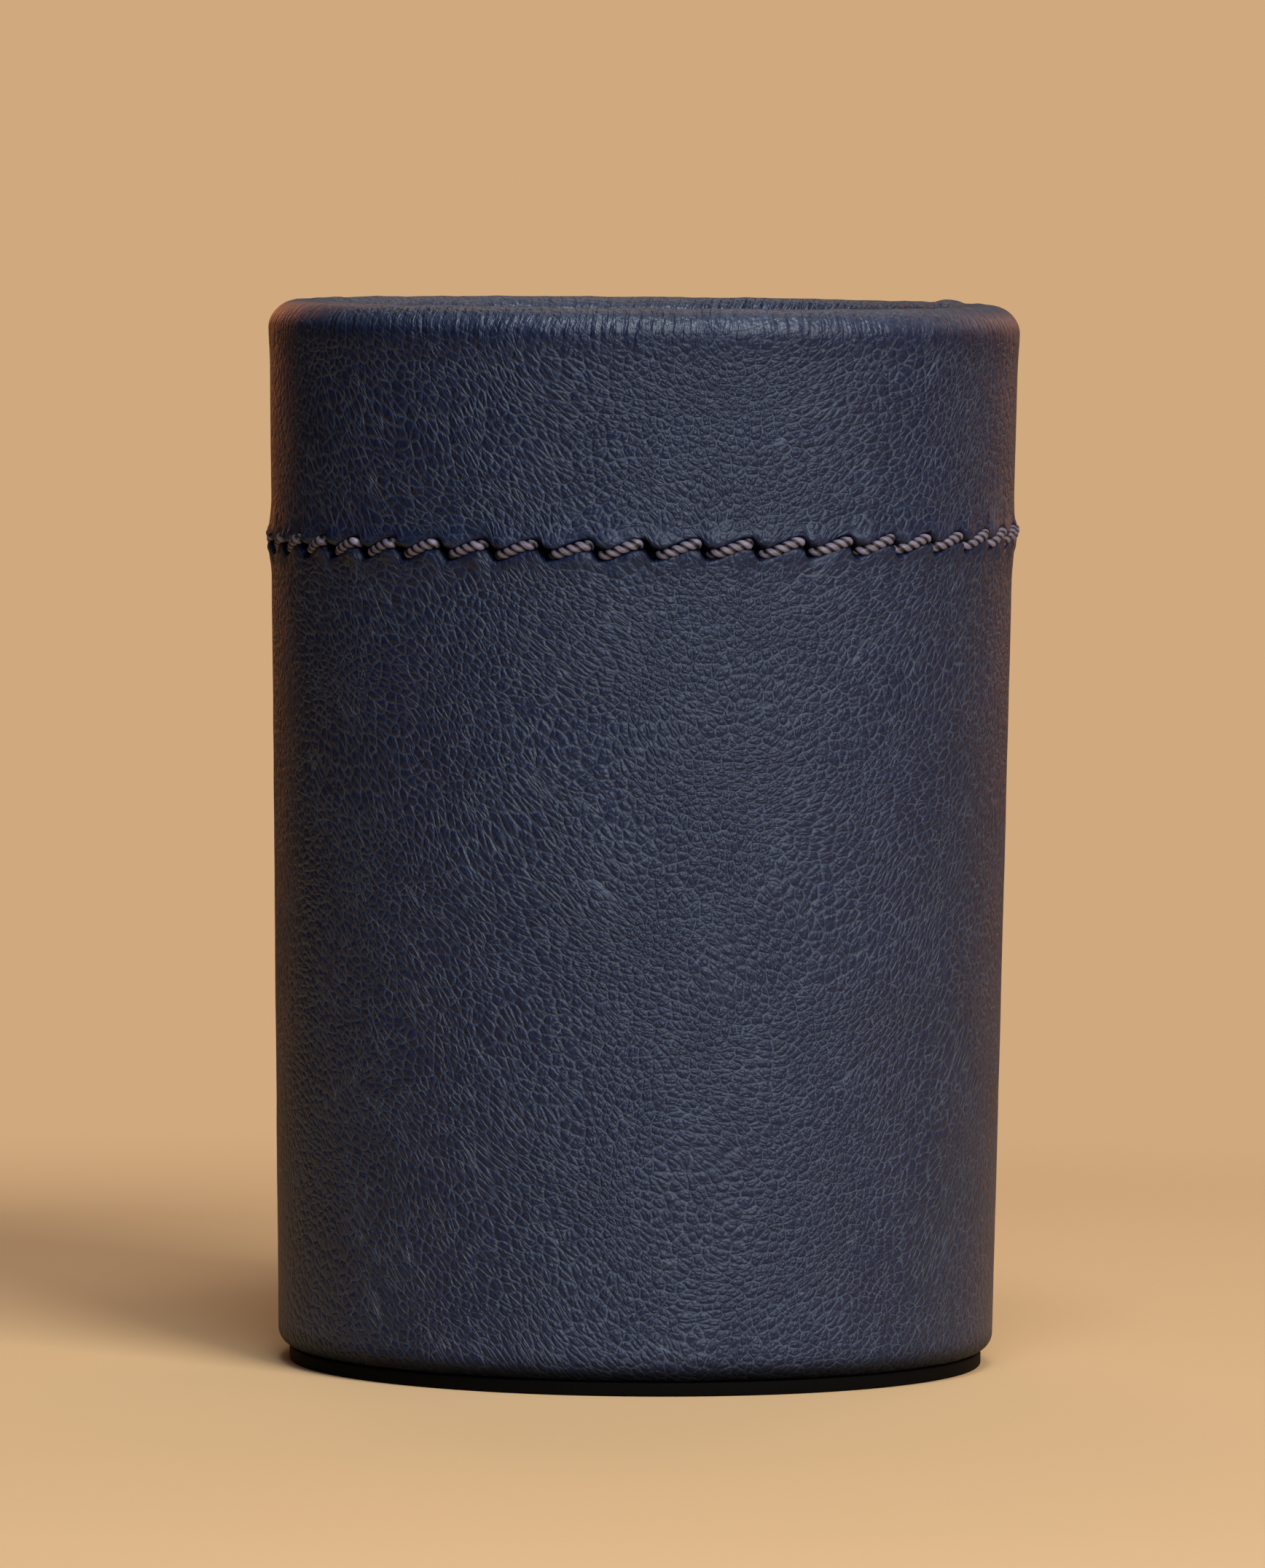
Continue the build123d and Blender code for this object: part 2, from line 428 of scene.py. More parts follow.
def speckled_material(name, scale, dark, light, depth, surface, **noise):
    """A matt material of two colours in specks, whose scale is one over their real size."""
    material, tree, shader = new_material(name)
    place = add(tree, "ShaderNodeTexCoord").outputs["Object"]
    specks = add(tree, NOISE, {"Vector": place, "Scale": scale, **noise})
    bump = add(tree, "ShaderNodeBump", {"Height": specks, "Distance": depth})
    colour = add(tree, MIX, {"Factor": specks, "A": linear(dark), "B": linear(light)}, **RGBA)
    feed(tree, shader, {"Base Color": colour.outputs["Result"], "Normal": bump, **surface})
    return material


def calendered_rubber():
    """Black rubber sheet from the rolls: nearly matt, with a fine pebble of 0.4 mm."""
    return speckled_material(
        "black calendered rubber", 1 / (0.4 * MM), "020203", "060607", 0.05 * MM,
        {"Roughness": 0.8, "Specular IOR Level": 0.06}, Detail=3.0)


def leatherboard():
    """Pressed leather fibre board: matt brown, flecked with its fibres, 1.5 mm long."""
    return speckled_material(
        "pressed leatherboard", 1 / (1.5 * MM), "5B4630", "9C8462", 0.1 * MM,
        {"Roughness": 0.9}, Detail=6.0, Distortion=1.5)


# Turned pieces


def face_radius(form, height, depth=0.0):
    """Radius of the layer that lies depth inside the cup's outer face."""
    return form.foot_radius + (form.rim_radius - form.foot_radius) * height / form.height - depth


def steps(start, end, spacing):
    """Even steps from start up to end, without the end."""
    count = max(1, round(abs(end - start) / spacing))
    return [start + (end - start) * k / count for k in range(count)]


def arc(centre, radius, first, last, count):
    """Places on an arc between two angles in degrees, without the last."""
    angles = [math.radians(first + (last - first) * k / count) for k in range(count)]
    return [(centre[0] + radius * math.cos(a), centre[1] + radius * math.sin(a)) for a in angles]


# A row of points round the cup is (radius, height, distance from the joint, facing, gather).
# Facing is 1 on the cup's outside, -1 on its inside and 0 where the leather is out of sight.


def plain_rows(places, facing=0.0):
    """Rows at (radius, height) places that are far from the joint."""
    return [(radius, height, FAR, facing, 0.0) for radius, height in places]


def wall_rows(form, heights, depth=0.0, facing=0.0):
    """Plain rows up or down the layer of the wall that lies depth inside its outer face."""
    return plain_rows([(face_radius(form, z, depth), z) for z in heights], facing)


def joint_rows(form, row, side, facing=1.0, depth=0.0):
    """Rows close to the joint, from it up the wall with side 1 and down it with side -1."""
    places = [(MM * d, row.height + side * MM * d) for d in NEAR_JOINT]
    return [(face_radius(form, z, depth), z, d, facing, 0.0) for d, z in places]


def joint_back(form, row, depth):
    """The one row at the joint on a leather's hidden side."""
    return [(face_radius(form, row.height, depth), row.height, 0.0, 0.0, 0.0)]


def turned_mesh(name, rows, turns, row, reach):
    """A closed ring of quads from rows of points round the cup.

    The rows go round the section and meet again. The joint's slope moves points near its
    height, and fades to nothing at the heights in reach. The UV map holds metres of hide.
    """
    form = bpy.context.scene.cup_form
    section = np.array([line[:2] for line in rows])
    lengths = np.linalg.norm(np.roll(section, -1, axis=0) - section, axis=1)
    along = np.concatenate([[0.0], np.cumsum(lengths)])
    if section[1, 1] < section[0, 1]:
        along = -along
    turn = np.arange(turns + 1) / turns * FULL_TURN
    around = turn * form.rim_radius
    angle = form.lap_turn + turn[:-1]
    radius, height = section[:, :1], section[:, 1:]
    x, y = radius * np.sin(angle), -radius * np.cos(angle)
    low = np.clip((height - reach[0]) / (row.height - reach[0]), 0, 1)
    high = np.clip((reach[1] - height) / (reach[1] - row.height), 0, 1)
    z = height + row.slope * x * np.minimum(low, high)
    points = np.stack([x, y, z], axis=2).reshape(-1, 3)

    count = len(rows)
    i, j = np.meshgrid(np.arange(count), np.arange(turns), indexing="ij")
    corners = ((0, 0), (0, 1), (1, 1), (1, 0))
    faces = np.stack([(i + up) % count * turns + (j + on) % turns for up, on in corners], axis=2)
    uv = np.stack([np.stack([around[j + on], along[i + up]], axis=2) for up, on in corners],
                  axis=2)
    faces, uv = faces.reshape(-1, 4), uv.reshape(-1, 4, 2)
    area = np.sum(section[:, 0] * np.roll(section[:, 1], -1)
                  - np.roll(section[:, 0], -1) * section[:, 1])
    if area < 0:
        faces, uv = faces[:, ::-1], uv[:, ::-1]

    mesh = bpy.data.meshes.new(name)
    mesh.from_pydata(points.tolist(), [], faces.tolist())
    mesh.uv_layers.new(name="hide").data.foreach_set("uv", uv.astype(np.float32).ravel())
    for label, values in zip(("joint", "facing", "gather"), list(zip(*rows))[2:]):
        values = np.repeat(np.array(values), turns).astype(np.float32)
        mesh.attributes.new(label, "FLOAT", "POINT").data.foreach_set("value", values)
    mesh.polygons.foreach_set("use_smooth", [True] * len(mesh.polygons))
    mesh.update()
    obj = bpy.data.objects.new(name, mesh)
    bpy.context.scene.collection.objects.link(obj)
    return obj


def disc_mesh(name, radius, low, high, edge):
    """A closed disc whose upper and lower edges are rounded."""
    count = DISC_TURNS
    turns = [FULL_TURN * k / count for k in range(count)]
    section = [(radius * 0.5, low), (radius - edge, low)]
    for middle, angles in ((low + edge, (-60, -30, 0)), (high - edge, (0, 30, 60, 90))):
        section += [(radius - edge + edge * math.cos(a), middle + edge * math.sin(a))
                    for a in np.radians(angles)]
    section.append((radius * 0.5, high))
    points = [(0.0, 0.0, low), (0.0, 0.0, high)]
    points += [(r * math.cos(turn), r * math.sin(turn), z) for r, z in section for turn in turns]
    rings = [range(2 + k * count, 2 + (k + 1) * count) for k in range(len(section))]
    faces = []
    for k in range(count):
        n = (k + 1) % count
        faces += [(0, rings[0][n], rings[0][k]), (1, rings[-1][k], rings[-1][n])]
        faces += [(lower[k], lower[n], upper[n], upper[k])
                  for lower, upper in zip(rings, rings[1:])]
    mesh = bpy.data.meshes.new(name)
    mesh.from_pydata(points, [], faces)
    mesh.polygons.foreach_set("use_smooth", [True] * len(mesh.polygons))
    obj = bpy.data.objects.new(name, mesh)
    bpy.context.scene.collection.objects.link(obj)
    return obj


# Geometry Nodes


def new_tree(name, numbers, counts=()):
    """A tree with inputs for geometry, numbers, counts and a material, and its group input."""
    tree = bpy.data.node_groups.new(name, "GeometryNodeTree")
    sockets = [("Geometry", "Geometry"), ("Material", "Material")]
    sockets += [(label, "Float") for label in numbers] + [(label, "Int") for label in counts]
    for label, kind in sockets:
        tree.interface.new_socket(label, in_out="INPUT", socket_type=f"NodeSocket{kind}")
    tree.interface.new_socket("Geometry", in_out="OUTPUT", socket_type="NodeSocketGeometry")
    return tree, add(tree, "NodeGroupInput").outputs


def close_tree(tree, shape, given):
    """End a tree with real geometry in its material."""
    whole = add(tree, "GeometryNodeRealizeInstances", (shape,))
    dressed = add(tree, "GeometryNodeSetMaterial", {"Geometry": whole,
                                                    "Material": given["Material"]})
    add(tree, "NodeGroupOutput", (dressed,))
    return tree


def settle(obj, tree, values):
    """Run a Geometry Nodes tree on obj with its named inputs, and keep the result as mesh."""
    modifier = obj.modifiers.new(tree.name, "NODES")
    modifier.node_group = tree
    sockets = {item.name: item.identifier for item in tree.interface.items_tree
               if item.item_type == "SOCKET" and item.in_out == "INPUT"}
    for name, value in values.items():
        modifier[sockets[name]] = value
    bpy.context.view_layer.update()
    seen = obj.evaluated_get(bpy.context.evaluated_depsgraph_get())
    mesh = bpy.data.meshes.new_from_object(seen)
    obj.modifiers.clear()
    old, obj.data = obj.data, mesh
    mesh.name = obj.name
    bpy.data.meshes.remove(old)
    for label in ("joint", "facing", "gather", "stitch"):
        if label in mesh.attributes:
            mesh.attributes.remove(mesh.attributes[label])


def relief_tree():
    """Leather pulled down under each stitch, standing up beside it, and gathered at the rim."""
    tree, given = new_tree("stitched_relief", (
        "Stitches", "First Hole", "Rise", "Groove", "Lip", "Above", "Lap Turn", "Lap Height",
        "Pucker", "Unevenness"))
    place = add(tree, "GeometryNodeInputPosition")
    x, y = add(tree, "ShaderNodeSeparateXYZ", (place,)).outputs[:2]
    joint, facing, gather = [add(tree, NAMED, {"Name": label})
                             for label in ("joint", "facing", "gather")]
    joint = add(tree, MATH, (joint, 1 / MM), **TIMES)

    # Where each point is between one hole, 0, and the next, 1.
    turn = add(tree, MATH, (x, add(tree, MATH, (y, -1.0), **TIMES)), operation="ARCTAN2")
    passed = add(tree, MATH, (turn, given["First Hole"]), **MINUS)
    pitch = add(tree, MATH, (given["Stitches"], FULL_TURN), **OVER)
    passed = add(tree, MATH, (passed, pitch), **TIMES)
    between = add(tree, MATH, (passed,), operation="FRACT")

    # The joint zigzags: up along the stitch and down along the slit at the hole. Seen from
    # inside the cup the row leans the same way, so there the zigzag is turned over.
    climb = draw_curve(add(tree, CURVE, {"Value": between}), (
        (0.0, 0.0), (0.13, -0.46), (0.5, 0.0), (0.87, 0.46), (1.0, 0.0)))
    near = add(tree, RANGE, (joint, 0.0, NEAR_JOINT[-1], 1.0, 0.0), **SMOOTH)
    for factor in (given["Rise"], facing, near):
        climb = add(tree, MATH, (climb, factor), **TIMES)

    # Down: deepest in the slits, and wider there.
    bed = draw_curve(add(tree, CURVE, {"Value": between}), (
        (0.0, 1.0), (0.16, 0.9), (0.35, 0.62), (0.8, 0.55), (1.0, 1.0)))
    width = add(tree, MATH, (bed, 1.0, 0.14), **TIMES_PLUS)
    wide = add(tree, RANGE, (joint, 0.10, width, 1.0, 0.0), interpolation_type="SMOOTHERSTEP")
    down = bed
    for factor in (wide, given["Groove"]):
        down = add(tree, MATH, (down, factor), **TIMES)

    # Up: a lip about a millimetre from the joint. The leather below the thread peaks at each
    # stitch's upper end, and the one above at its lower end.
    lip_reach = 4.0
    reach = add(tree, MATH, (joint, lip_reach), use_clamp=True, **OVER)
    lip = draw_curve(add(tree, CURVE, {"Value": reach}), (
        (0.0, 0.0), (0.10, 0.35), (0.24, 1.0), (0.5, 0.45), (1.0, 0.0)))
    jitter = add(tree, NOISE, {"Vector": place, "Scale": 420.0, "Detail": 1.0})
    swing = add(tree, RANGE, (jitter, 0.3, 0.7, 0.45, 1.25))
    from_end = add(tree, MATH, (between, -0.5))
    from_end = add(tree, MATH, (from_end, given["Above"], 0.5), **TIMES_PLUS)
    peak = draw_curve(add(tree, CURVE, {"Value": from_end}), (
        (0.0, 0.55), (0.12, 0.35), (0.45, 0.6), (0.80, 1.5), (0.93, 1.35), (1.0, 0.55)))
    swing = add(tree, MATH, (swing, peak), **TIMES)
    up = lip
    for factor in (swing, given["Lip"]):
        up = add(tree, MATH, (up, factor), **TIMES)
    out = add(tree, MATH, (up, down), **MINUS)
    out = add(tree, MATH, (out, facing), **TIMES)
    radial = add(tree, VECTOR, (add(tree, COMBINE, (x, y)),), operation="NORMALIZE")
    shift = add(tree, VECTOR, {0: radial, "Scale": out}, **SCALE)
    seam = add(tree, VECTOR, (shift, add(tree, COMBINE, {2: climb})))

    # Along the surface's own direction: the lap behind, the gathers, and a slow unevenness.
    off_lap = add(tree, MATH, (turn, given["Lap Turn"]), **MINUS)
    off_lap = add(tree, MATH, (off_lap, math.pi, -math.pi), operation="WRAP")
    across_lap = add(tree, RANGE, (off_lap, -0.10, 0.06))
    lap = draw_curve(add(tree, CURVE, {"Value": across_lap}), (
        (0.0, 0.0), (0.25, 0.25), (0.55, 1.0), (0.72, 0.9), (0.82, 0.1), (1.0, 0.0)))
    shows = add(tree, MATH, (facing,), **ABSOLUTE)
    for factor in (given["Lap Height"], shows):
        lap = add(tree, MATH, (lap, factor), **TIMES)
    upright = add(tree, VECTOR, (place, (1.0, 1.0, 0.12)), **TIMES)
    folds = add(tree, NOISE, {"Vector": upright, "Scale": 330.0, "Detail": 1.5})
    folds = add(tree, MATH, (folds, 0.5), **MINUS)
    for factor in (gather, given["Pucker"]):
        folds = add(tree, MATH, (folds, factor), **TIMES)
    wavy = add(tree, NOISE, {"Vector": place, "Scale": 110.0, "Detail": 2.0})
    wavy = add(tree, MATH, (wavy, 0.5), **MINUS)
    wavy = add(tree, MATH, (wavy, shows), **TIMES)
    swell = add(tree, MATH, (folds, 2.0, lap), **TIMES_PLUS)
    swell = add(tree, MATH, (wavy, given["Unevenness"], swell), **TIMES_PLUS)
    away = add(tree, RANGE, (joint, 0.1, 0.6), **SMOOTH)
    swell = add(tree, MATH, (swell, away), **TIMES)
    normal = add(tree, "GeometryNodeInputNormal")
    swell = add(tree, VECTOR, {0: normal, "Scale": swell}, **SCALE)
    moved = add(tree, "GeometryNodeSetPosition", {
        "Geometry": given["Geometry"], "Offset": add(tree, VECTOR, (seam, swell))})
    return close_tree(tree, moved, given)


def relief_values(scene, material, above):
    """The inputs of the relief tree, for a leather above the stitch row, -1, or below it, 1."""
    form, row = scene.cup_form, scene.cup_stitch
    return {
        "Stitches": float(row.count), "First Hole": row.first_hole, "Rise": row.rise,
        "Groove": row.groove, "Lip": row.lip, "Above": above, "Lap Turn": form.lap_turn,
        "Lap Height": form.lap_height, "Pucker": form.pucker, "Unevenness": form.unevenness,
        "Material": material,
    }


def stitch_tree():
    """Plied thread laid from hole to hole round the cup, each stitch a little different."""
    tree, given = new_tree("saddle_stitch_row", (
        "First Hole", "Radius", "Height", "Slope", "Side", "Rise", "Thread", "Lay"),
        ("Stitches", "Seed"))
    line = add(tree, "GeometryNodeCurvePrimitiveLine", {"Start": (0, 0, 0), "End": (1, 0, 0)})
    fine = add(tree, "GeometryNodeResampleCurve", {"Curve": line, "Count": 60})
    spots = add(tree, "GeometryNodeMeshLine", {"Count": given["Stitches"]})
    placed = add(tree, "GeometryNodeInstanceOnPoints", {"Points": spots, "Instance": fine})
    named = add(tree, STORE, {"Geometry": placed, "Name": "stitch",
                              "Value": add(tree, "GeometryNodeInputIndex")},
                data_type="INT", domain="INSTANCE")
    strands = add(tree, "GeometryNodeRealizeInstances", (named,))
    number = add(tree, NAMED, {"Name": "stitch"}, data_type="INT")
    part, length = [add(tree, "GeometryNodeSplineParameter").outputs[name]
                    for name in ("Factor", "Length")]

    # Each stitch draws a shift along the row, a rise, a stand off the leather and a twist.
    drawn = []
    for k, (low, high) in enumerate(((-0.05, 0.05), (0.85, 1.2), (-0.05, 0.05), (0.0, 6.2))):
        seed = add(tree, MATH, (given["Seed"], float(k)))
        chance = add(tree, "FunctionNodeRandomValue", {"Min": low, "Max": high, "ID": number,
                                                       "Seed": seed}, data_type="FLOAT")
        drawn.append(chance.outputs[1])

    # Across: each end turns down into its slit, the left end gently and the right end sharply.
    across, up, proud = [draw_curve(add(tree, CURVE, {"Value": part}), points) for points in (
        ((0.0, 0.165), (0.12, 0.205), (0.5, 0.51), (0.90, 0.83), (1.0, 0.86)),
        ((0.0, -0.40), (0.14, -0.42), (0.5, 0.0), (0.88, 0.43), (1.0, 0.36)),
        ((0.0, -1.15), (0.10, -0.70), (0.30, -0.22), (0.6, 0.08), (0.86, 0.12), (0.95, -0.32),
         (1.0, -1.15)))]
    turn = add(tree, MATH, (across, drawn[0]))
    turn = add(tree, MATH, (turn, number))
    pitch = add(tree, MATH, (FULL_TURN, given["Stitches"]), **OVER)
    turn = add(tree, MATH, (turn, pitch, given["First Hole"]), **TIMES_PLUS)
    rise = given["Rise"]
    for factor in (drawn[1], given["Side"]):
        rise = add(tree, MATH, (rise, factor), **TIMES)
    stand = add(tree, MATH, (proud, drawn[2]))
    stand = add(tree, MATH, (stand, MM), **TIMES)
    stand = add(tree, MATH, (stand, given["Side"], given["Radius"]), **TIMES_PLUS)
    x, y = [add(tree, MATH, (stand, add(tree, MATH, (turn,), operation=wave)), **TIMES)
            for wave in ("SINE", "COSINE")]
    y = add(tree, MATH, (y, -1.0), **TIMES)
    z = add(tree, MATH, (x, given["Slope"], given["Height"]), **TIMES_PLUS)
    z = add(tree, MATH, (up, rise, z), **TIMES_PLUS)
    laid = add(tree, "GeometryNodeSetPosition", {
        "Geometry": strands, "Position": add(tree, COMBINE, (x, y, z))})
    twist = add(tree, MATH, (length, given["Lay"]), **OVER)
    twist = add(tree, MATH, (twist, FULL_TURN, drawn[3]), **TIMES_PLUS)
    twisted = add(tree, "GeometryNodeSetCurveTilt", {"Curve": laid, "Tilt": twist})
    marked = add(tree, STORE, {"Geometry": twisted, "Name": "along", "Value": length},
                 data_type="FLOAT", domain="POINT")

    # The thread's section has two plies, each a round lobe.
    radius = add(tree, MATH, (given["Thread"], 0.5), **TIMES)
    ring = add(tree, "GeometryNodeCurvePrimitiveCircle", {"Resolution": 24, "Radius": radius})
    ring_part = add(tree, "GeometryNodeSplineParameter").outputs["Factor"]
    ring = add(tree, STORE, {"Geometry": ring, "Name": "around", "Value": ring_part},
               data_type="FLOAT", domain="POINT")
    lobe = add(tree, MATH, (add(tree, NAMED, {"Name": "around"}), FULL_TURN), **TIMES)
    lobe = add(tree, MATH, (lobe,), **COSINE)
    lobe = add(tree, MATH, (lobe,), **ABSOLUTE)
    lobe = add(tree, MATH, (lobe, 0.62), operation="POWER")
    lobe = add(tree, MATH, (lobe, 0.34, 0.68), **TIMES_PLUS)
    place = add(tree, "GeometryNodeInputPosition")
    lobed = add(tree, VECTOR, {0: place, "Scale": lobe}, **SCALE)
    ring = add(tree, "GeometryNodeSetPosition", {"Geometry": ring, "Position": lobed})
    tube = add(tree, "GeometryNodeCurveToMesh", {"Curve": marked, "Profile Curve": ring,
                                                 "Fill Caps": True})
    return close_tree(tree, add(tree, "GeometryNodeSetShadeSmooth", (tube,)), given)


# Operators


class CUP_OT_leather(bpy.types.Operator):
    """Cut, turn and stretch the two outer leathers over the wall"""

    bl_idname = "cup.leather"
    bl_label = "Outer leather"

    def execute(self, context):
        scene = context.scene
        form, row = scene.cup_form, scene.cup_stitch
        material = milled_leather(scene.cup_look, form, row)
        tree = relief_tree()

        # Down the outside from the joint, round the foot, in to the hem's edge, and back behind.
        foot_height = sleeve_bottom + FOOT_ROUND
        hem_edge = form.foot_radius - HEM
        centre = (face_radius(form, foot_height) - FOOT_ROUND, foot_height)
        rows = joint_rows(form, row, -1)
        rows += wall_rows(form, steps(row.height - WIDER_FROM, foot_height, 1.15 * MM),
                          facing=1.0)
        rows += plain_rows(arc(centre, FOOT_ROUND, 0, -90, 10), facing=1.0)
        rows += plain_rows([(r, sleeve_bottom)
                            for r in steps(centre[0], hem_edge, 2.0 * MM) + [hem_edge]])
        rows += plain_rows([(r, sleeve_bottom + LEATHER) for r in (hem_edge, centre[0] - MM)])
        rows += plain_rows(reversed(arc(centre, FOOT_ROUND - LEATHER, 0, -90, 4)))
        rows += wall_rows(form, steps(foot_height + 2 * MM, row.height, 20 * MM), LEATHER)
        rows += joint_back(form, row, LEATHER)
        sleeve = turned_mesh("sleeve_leather", rows, TURNS, row, (20 * MM, form.height))
        settle(sleeve, tree, relief_values(scene, material, 1.0))

        # Up the outside from the joint, over the rim, down the inside, and back between.
        roll = WALL / 2
        roll_height = form.height - roll
        middle = face_radius(form, roll_height, roll)
        rows = joint_rows(form, row, 1)
        for z in steps(row.height + WIDER_FROM, roll_height, MM):
            swell = form.rim_swell * math.exp(-(((z - roll_height) / (2.4 * MM)) ** 2))
            rows.append((face_radius(form, z) + swell, z, FAR, 1.0, 0.0))
        for k in range(RIM_STEPS):
            turn = math.pi * k / RIM_STEPS
            swell = roll + form.rim_swell * max(0.0, math.cos(turn)) ** 2
            gather = min(1.0, max(0.0, (turn - 0.9) / 1.2))
            rows.append((middle + swell * math.cos(turn), roll_height + roll * math.sin(turn),
                         FAR, 1.0, gather))
        for z in steps(roll_height, row.height + WIDER_FROM, MM):
            gather = math.exp(-(((z - roll_height) / (9.0 * MM)) ** 2))
            rows.append((face_radius(form, z, WALL), z, FAR, -1.0, gather))
        rows += reversed(joint_rows(form, row, 1, -1.0, WALL))
        rows += joint_back(form, row, WALL - LEATHER)
        rows += wall_rows(form, steps(row.height, roll_height, 8 * MM)[1:], WALL - LEATHER)
        rows += plain_rows(arc((middle, roll_height), roll - LEATHER, 180, 0, 8))
        rows += wall_rows(form, steps(roll_height, row.height, 8 * MM), LEATHER)
        rows += joint_back(form, row, LEATHER)
        cuff = turned_mesh("cuff_leather", rows, TURNS, row, (0.0, roll_height - 2 * MM))
        settle(cuff, tree, relief_values(scene, material, -1.0))

        for piece, node_name in ((sleeve, "body_sleeve"), (cuff, "rim_cuff")):
            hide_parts(node_name)
            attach(piece, "root")
        return {"FINISHED"}


class CUP_OT_lining(bpy.types.Operator):
    """Glue in the lining and the disc on the inner floor"""

    bl_idname = "cup.lining"
    bl_label = "Lining"

    def execute(self, context):
        scene = context.scene
        form, row = scene.cup_form, scene.cup_stitch
        material = skiver_leather()
        low, back, edge = lining_bottom, WALL - LEATHER, 0.1 * MM
        rows = joint_rows(form, row, -1, -1.0, WALL)
        rows += wall_rows(form, steps(row.height - WIDER_FROM, low + 0.3 * MM, 3 * MM), WALL,
                          facing=-1.0)
        rows += plain_rows([(face_radius(form, low, WALL - edge), low + edge),
                            (face_radius(form, low, back + edge), low)])
        rows += wall_rows(form, steps(low + 0.2 * MM, row.height, 20 * MM), back)
        rows += joint_back(form, row, back)
        wall = turned_mesh("wall_lining", rows, TURNS // 2, row, (20 * MM, form.height))
        settle(wall, bpy.data.node_groups["stitched_relief"],
               relief_values(scene, material, 1.0) | {"Lap Height": 0.0})

        disc = disc_mesh("floor_lining_disc", floor_high.x, floor_low.z, floor_high.z, 0.25 * MM)
        disc.data.materials.append(material)
        for piece, node_name in ((wall, "inner_lining"), (disc, "floor_lining")):
            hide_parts(node_name)
            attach(piece, "root")
        return {"FINISHED"}


class CUP_OT_base(bpy.types.Operator):
    """Set the rubber pad under the foot, and give the hidden boards their fibre"""

    bl_idname = "cup.base"
    bl_label = "Base and boards"

    def execute(self, context):
        pad = disc_mesh("rubber_pad", pad_corner.x, 0.0, pad_corner.z, 0.22 * MM)
        pad.data.materials.append(calendered_rubber())
        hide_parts("base_pad")
        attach(pad, "root")
        board = leatherboard()
        for name in ("core_tube", "base_board"):
            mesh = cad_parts[name].data
            mesh.materials.clear()
            mesh.materials.append(board)
        return {"FINISHED"}


class CUP_OT_stitch(bpy.types.Operator):
    """Sew the row of saddle stitch outside and inside"""

    bl_idname = "cup.stitch"
    bl_label = "Saddle stitch"

    def execute(self, context):
        scene = context.scene
        form, row = scene.cup_form, scene.cup_stitch
        material = waxed_thread()
        tree = stitch_tree()
        for name, side, depth, seed in (("outer_strand", 1.0, 0.0, 3),
                                        ("inner_strand", -1.0, WALL, 11)):
            obj = bpy.data.objects.new(name, bpy.data.meshes.new(name))
            scene.collection.objects.link(obj)
            settle(obj, tree, {
                "Stitches": row.count, "First Hole": row.first_hole,
                "Radius": face_radius(form, row.height, depth), "Height": row.height,
                "Slope": row.slope, "Side": side, "Rise": row.rise, "Thread": row.thread,
                "Lay": row.lay, "Seed": seed, "Material": material})
            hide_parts("saddle_stitch")
            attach(obj, "root")
        return {"FINISHED"}


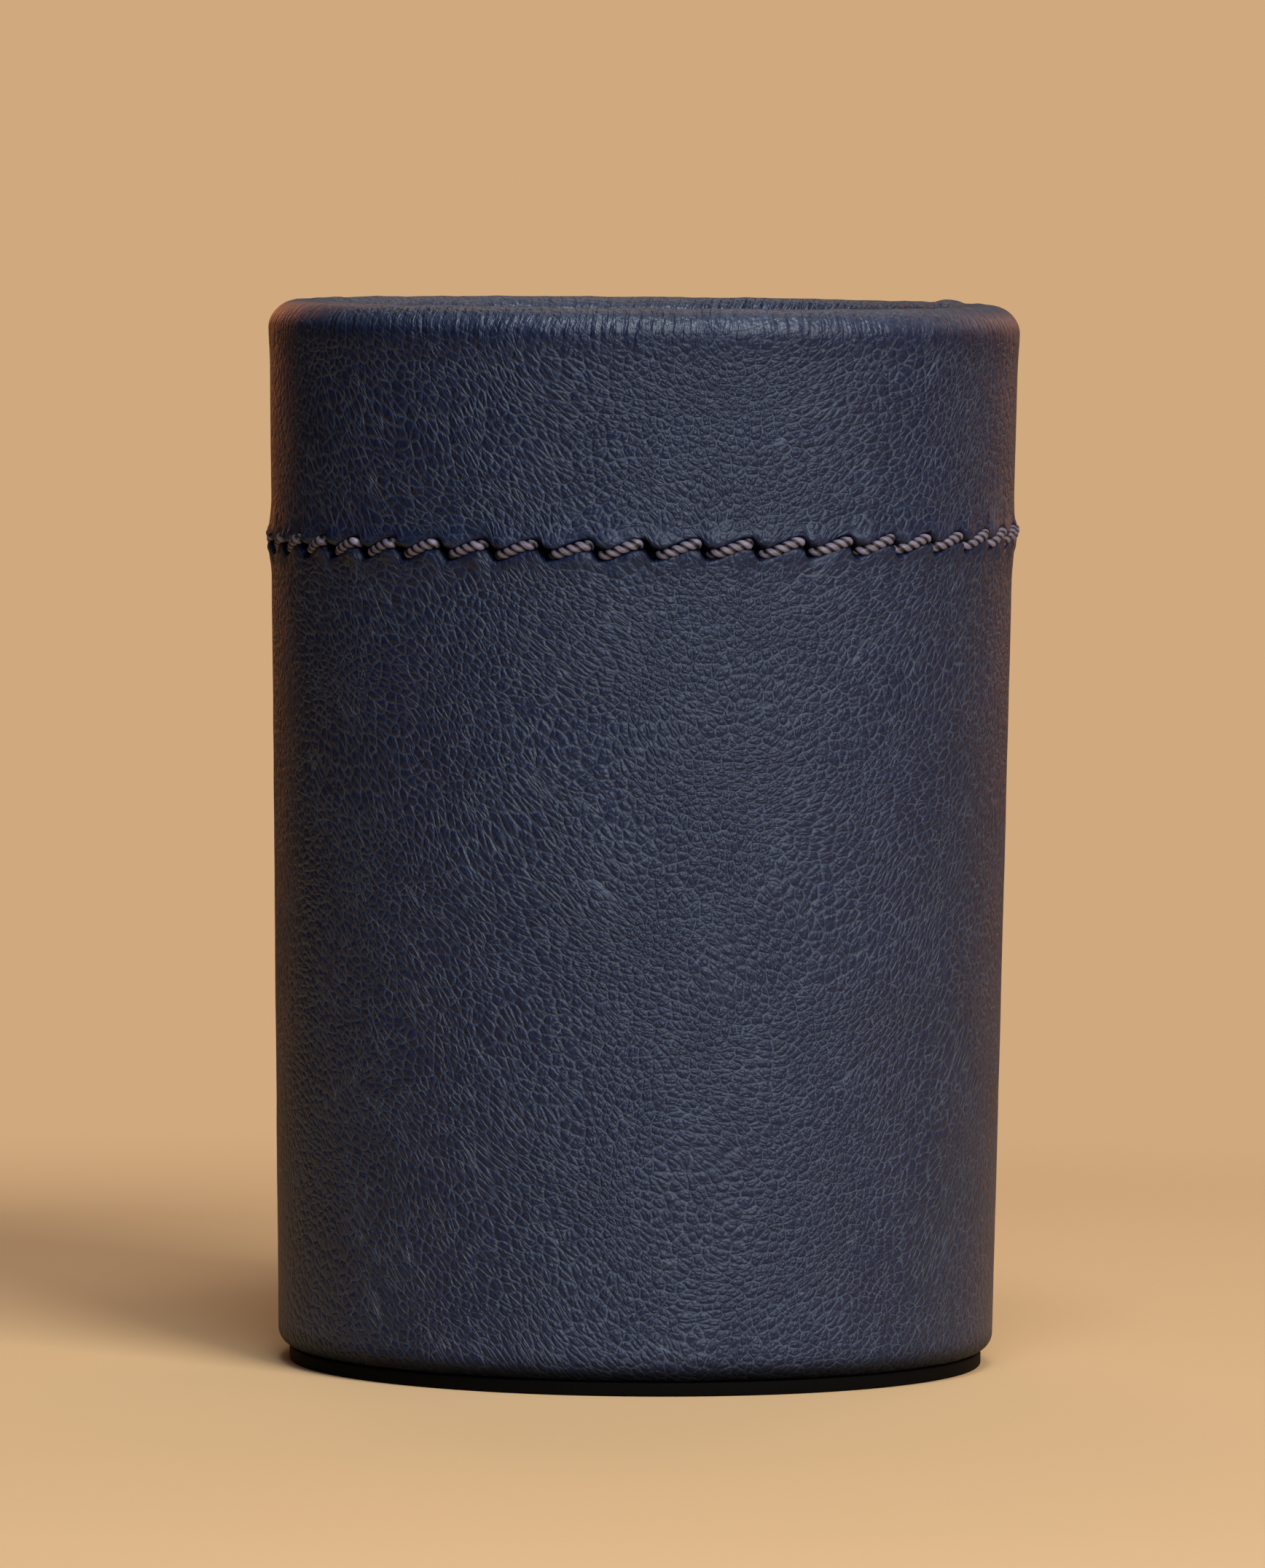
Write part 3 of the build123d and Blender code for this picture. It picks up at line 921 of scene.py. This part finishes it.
class CUP_OT_stage(bpy.types.Operator):
    """Lay the floor and backdrop, hang the lamps and set the camera"""

    bl_idname = "cup.stage"
    bl_label = "Stage"

    def execute(self, context):
        scene = context.scene
        look = scene.cup_stage
        backdrop = (*look.backdrop, 1.0)
        material, tree, shader = new_material("pale tan card")
        place = add(tree, "ShaderNodeTexCoord").outputs["Object"]
        tooth = add(tree, NOISE, {"Vector": place, "Scale": 900.0, "Detail": 2.0})
        shade = add(tree, RANGE, (tooth, 0.0, 1.0, 0.98, 1.02))
        colour = add(tree, VECTOR, {0: tuple(look.paper), "Scale": shade}, **SCALE)
        feed(tree, shader, {"Base Color": colour, "Roughness": 0.9})

        # Away from the cup the card fades, for the camera alone, into the plain backdrop.
        distance = add(tree, VECTOR, (place,), operation="LENGTH").outputs["Value"]
        far = add(tree, RANGE, (distance, 0.16, 0.28), **SMOOTH)
        seen = add(tree, "ShaderNodeLightPath").outputs["Is Camera Ray"]
        far = add(tree, MATH, (far, seen), **TIMES)
        plain = add(tree, "ShaderNodeEmission", {"Color": backdrop})
        faded = add(tree, "ShaderNodeMixShader", (far, shader, plain))
        feed(tree, tree.nodes["Material Output"], (faded,))

        card = disc_mesh("floor", 0.30, -2 * MM, 0.0, 0.5 * MM)
        card.data.materials.append(material)

        aim = Vector((0.0, 0.0, 0.05))
        for name, spot, size, power, tint in (
                ("key", (1.04, -1.68, 1.12), 1.0, look.key, "FFF6E6"),
                ("side", (1.75, -0.10, 0.55), 1.2, look.side, "FFC490"),
                ("top", (0.05, -0.54, 1.18), 0.4, look.top, "FFFFFF"),
                ("front", (0.10, -1.30, 0.50), 0.4, look.front, "E8EEFF"),
                ("back", (0.05, 0.90, 1.10), 1.0, look.back, "FFE4C8"),
                ("glow_right", (0.66, 1.08, 0.30), 0.6, look.glow * 0.8, "FFB27C"),
                ("glow_left", (-0.38, 1.20, 0.25), 0.45, look.glow * 0.55, "FF9C5C")):
            lamp = bpy.data.lights.new(name, "AREA")
            lamp.shape = "SQUARE"
            lamp.size = size
            lamp.energy = power
            lamp.color = linear(tint)[:3]
            holder = bpy.data.objects.new(name, lamp)
            holder.location = spot
            holder.rotation_euler = (aim - Vector(spot)).to_track_quat("-Z", "Y").to_euler()
            scene.collection.objects.link(holder)

        # The camera sees the backdrop's colour all round, and the cup only a dim room.
        world = bpy.data.worlds.new("room")
        world.use_nodes = True
        tree = world.node_tree
        tree.nodes.clear()
        room = add(tree, "ShaderNodeBackground", {"Color": linear("F2B684"),
                                                  "Strength": look.sky})
        plain = add(tree, "ShaderNodeBackground", {"Color": backdrop})
        seen = add(tree, "ShaderNodeLightPath").outputs["Is Camera Ray"]
        mixed = add(tree, "ShaderNodeMixShader", (seen, room, plain))
        add(tree, "ShaderNodeOutputWorld", (mixed,))
        scene.world = world
        scene.view_settings.view_transform = "Standard"

        # The camera was fitted to the outline: a long lens, a little above level, with the
        # frame turned by half a degree.
        tilt, roll = 0.05688, 0.00886
        camera = bpy.data.cameras.new("camera")
        camera.sensor_fit = "VERTICAL"
        camera.sensor_height = 36.0
        camera.lens = 275.08
        camera.clip_start = 0.05
        holder = bpy.data.objects.new("camera", camera)
        holder.matrix_world = (
            Matrix.Translation((-0.773 * MM, -1.216, 0.128))
            @ Matrix.Rotation(math.pi / 2 - tilt, 4, "X")
            @ Matrix.Rotation(roll, 4, "Z"))
        scene.collection.objects.link(holder)
        scene.camera = holder
        return {"FINISHED"}


class CUP_PT_sidebar(bpy.types.Panel):
    """Sizes, colours and steps of the pencil cup"""

    bl_label = "Pencil cup"
    bl_idname = "CUP_PT_sidebar"
    bl_space_type = "VIEW_3D"
    bl_region_type = "UI"
    bl_category = "Pencil Cup"

    def draw(self, context):
        for group in GROUPS:
            values = getattr(context.scene, group)
            box = self.layout.box()
            for name in values.bl_rna.properties.keys():
                if name not in ("rna_type", "name"):
                    box.prop(values, name)
        for operator in OPERATORS:
            self.layout.operator(operator.bl_idname)


OPERATORS = (CUP_OT_leather, CUP_OT_lining, CUP_OT_base, CUP_OT_stitch, CUP_OT_stage)
GROUPS = {"cup_form": CupForm, "cup_look": LeatherLook, "cup_stitch": StitchForm,
          "cup_stage": StageLook}


def register():
    for cls in (*GROUPS.values(), *OPERATORS, CUP_PT_sidebar):
        bpy.utils.register_class(cls)
    for name, cls in GROUPS.items():
        setattr(bpy.types.Scene, name, PointerProperty(type=cls))


def unregister():
    for name in GROUPS:
        delattr(bpy.types.Scene, name)
    for cls in reversed((*GROUPS.values(), *OPERATORS, CUP_PT_sidebar)):
        bpy.utils.unregister_class(cls)


def main():
    register()
    for operator in OPERATORS:
        group, name = operator.bl_idname.split(".")
        getattr(getattr(bpy.ops, group), name)()


if __name__ == "__main__":
    main()
